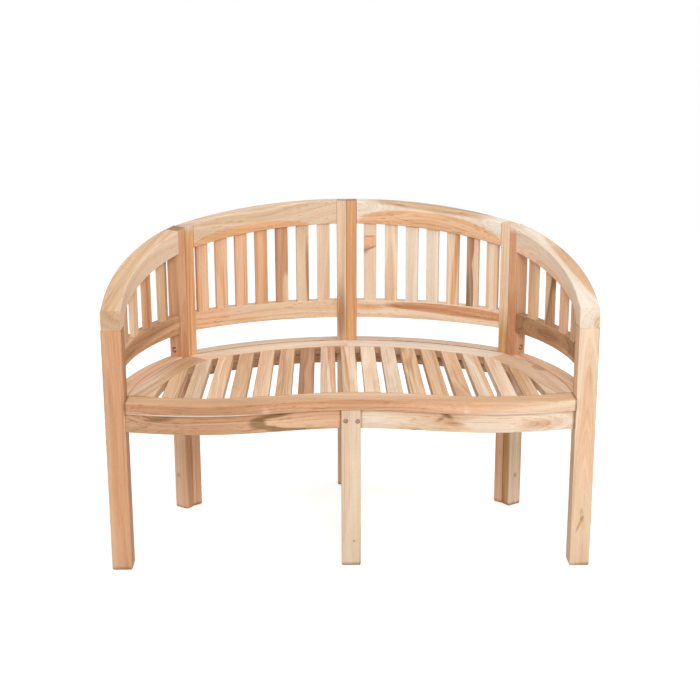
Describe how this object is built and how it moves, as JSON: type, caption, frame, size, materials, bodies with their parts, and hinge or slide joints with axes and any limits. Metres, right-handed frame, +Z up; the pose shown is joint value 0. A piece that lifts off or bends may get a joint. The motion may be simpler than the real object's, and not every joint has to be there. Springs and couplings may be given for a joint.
{
  "type": "bench",
  "caption": "Curved wooden garden bench with a wrap-round slatted back that runs down into arms, a wavy front edge and a slatted seat.",
  "frame": {"origin": "on the floor, under the middle of the bench's overall box", "axes": "+X along the bench's width, +Y from the front edge of the seat towards the back, +Z up"},
  "size_m": [1.2, 0.6759, 0.843],
  "materials": {
    "teak_pale": "sanded, unoiled",
    "teak_honey": "sanded, unoiled",
    "teak_peach": "sanded, unoiled",
    "teak_pink": "sanded, unoiled",
    "teak_tan": "sanded, unoiled",
    "teak_orange": "sanded, unoiled",
    "teak_brown": "sanded, unoiled"
  },
  "bodies": {
    "root": {"front_leg_left": "teak_pink", "front_leg_right": "teak_peach", "front_leg_centre": "teak_pale", "centre_stile_left": "teak_pink", "outer_stile_left": "teak_honey", "end_stile_left": "teak_pink", "centre_stile_right": "teak_orange", "outer_stile_right": "teak_honey", "end_stile_right": "teak_peach", "crest_rail_left": "teak_peach", "arm_rail_left": "teak_honey", "back_lower_rail_left": "teak_honey", "end_lower_rail_left": "teak_pale", "crest_rail_right": "teak_pale", "arm_rail_right": "teak_pale", "back_lower_rail_right": "teak_tan", "end_lower_rail_right": "teak_brown", "back_slat_left_1": "teak_honey", "back_slat_left_2": "teak_peach", "back_slat_left_3": "teak_honey", "back_slat_left_4": "teak_tan", "back_slat_left_5": "teak_brown", "back_slat_left_6": "teak_honey", "back_slat_left_7": "teak_pink", "back_slat_right_1": "teak_honey", "back_slat_right_2": "teak_peach", "back_slat_right_3": "teak_pale", "back_slat_right_4": "teak_honey", "back_slat_right_5": "teak_orange", "back_slat_right_6": "teak_brown", "back_slat_right_7": "teak_honey", "seat_nosing": "teak_honey", "front_apron_left": "teak_honey", "front_apron_right": "teak_peach", "rear_apron_left": "teak_honey", "end_apron_left": "teak_honey", "rear_apron_right": "teak_honey", "end_apron_right": "teak_honey", "seat_border_rear_left": "teak_peach", "seat_border_end_left": "teak_honey", "seat_border_rear_right": "teak_honey", "seat_border_end_right": "teak_peach", "seat_slat_1": "teak_peach", "seat_slat_2": "teak_honey", "seat_slat_3": "teak_pink", "seat_slat_4": "teak_tan", "seat_slat_5": "teak_honey", "seat_slat_6": "teak_peach", "seat_slat_7": "teak_pale", "seat_slat_8": "teak_honey", "seat_slat_9": "teak_peach", "seat_slat_10": "teak_honey", "seat_slat_11": "teak_pale", "seat_slat_12": "teak_peach", "seat_slat_13": "teak_honey", "seat_slat_14": "teak_tan", "seat_slat_15": "teak_pink", "seat_slat_16": "teak_honey", "seat_slat_17": "teak_peach", "centre_bearer": "teak_tan"}
  },
  "joints": []
}
